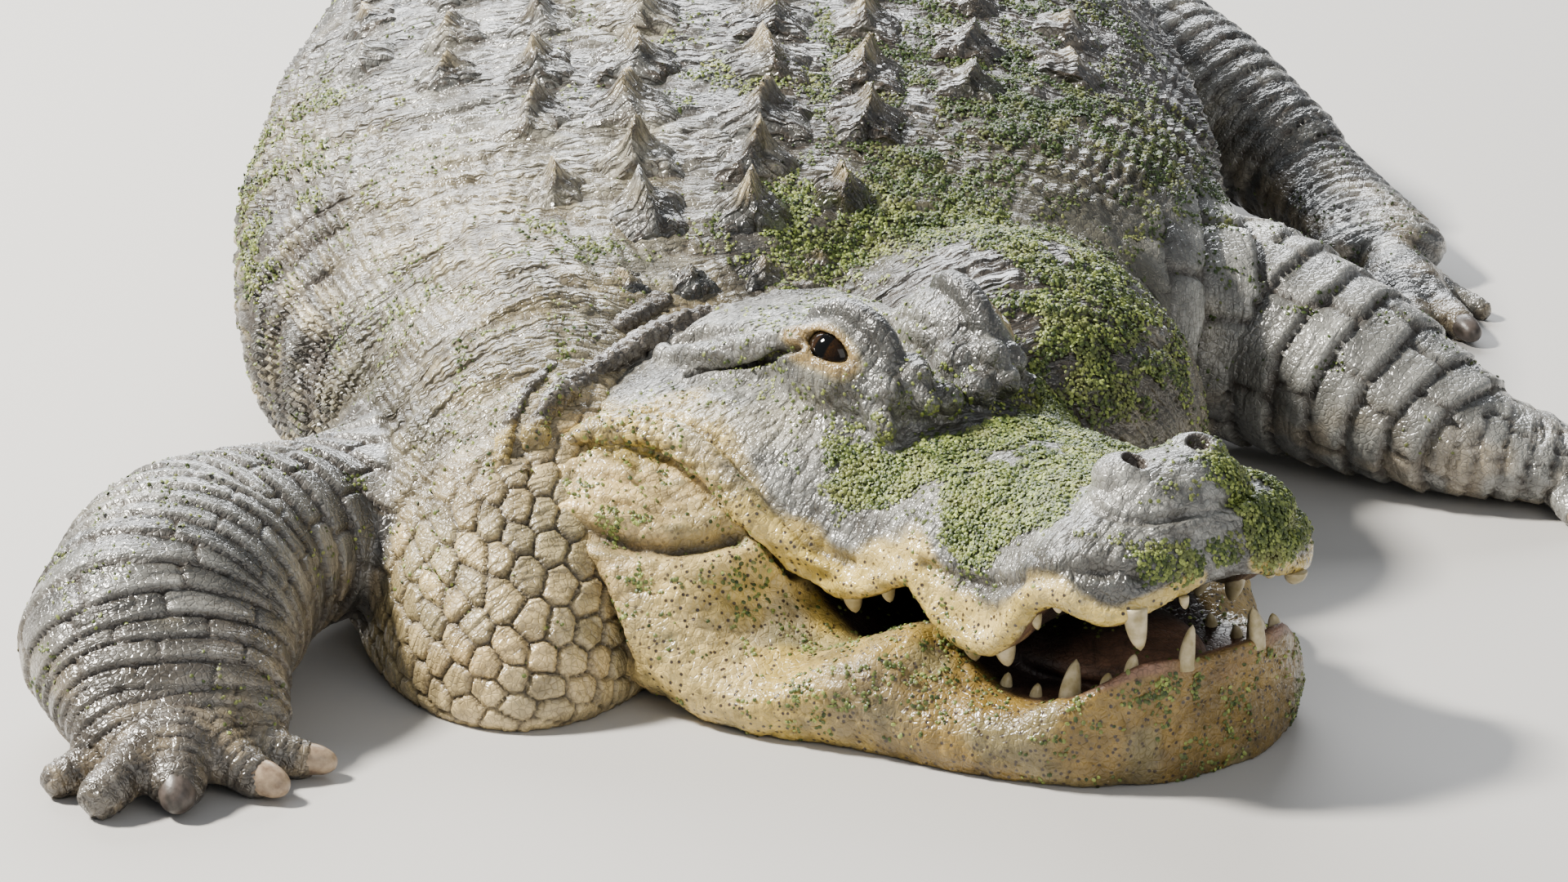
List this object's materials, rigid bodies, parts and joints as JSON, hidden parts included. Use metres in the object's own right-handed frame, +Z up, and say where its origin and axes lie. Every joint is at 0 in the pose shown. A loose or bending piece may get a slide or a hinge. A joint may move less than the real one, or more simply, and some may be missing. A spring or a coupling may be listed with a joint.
{
  "type": "american alligator model",
  "caption": "Life-size still model of a heavy adult American alligator lying on its belly, head turned to its left, mouth slightly open.",
  "frame": {"origin": "on the floor under the middle of the belly, where the trunk rests", "axes": "+Z up, +Y from the head towards the tail, +X to the animal's left"},
  "size_m": [1.0541, 3.0418, 0.323],
  "materials": {
    "head_skin": "semi-gloss",
    "jaw_skin": "satin",
    "body_skin": "semi-gloss",
    "limb_skin": "semi-gloss",
    "claw": "satin",
    "eye": "gloss"
  },
  "bodies": {
    "root": {"head": "head_skin", "eye_right": "eye", "eye_left": "eye", "lower_jaw": "jaw_skin", "neck": "body_skin", "torso_front": "body_skin", "torso_rear": "body_skin", "tail_base": "body_skin", "tail_middle": "body_skin", "tail_tip": "body_skin", "upper_arm_right": "limb_skin", "forearm_right": "limb_skin", "hand_right": "limb_skin", "claw_hand_right_1": "claw", "claw_hand_right_2": "claw", "claw_hand_right_3": "claw", "upper_arm_left": "limb_skin", "forearm_left": "limb_skin", "hand_left": "limb_skin", "claw_hand_left_1": "claw", "claw_hand_left_2": "claw", "claw_hand_left_3": "claw", "thigh_right": "limb_skin", "shank_right": "limb_skin", "foot_right": "limb_skin", "claw_foot_right_1": "claw", "claw_foot_right_2": "claw", "claw_foot_right_3": "claw", "thigh_left": "limb_skin", "shank_left": "limb_skin", "foot_left": "limb_skin", "claw_foot_left_1": "claw", "claw_foot_left_2": "claw", "claw_foot_left_3": "claw"}
  },
  "joints": []
}
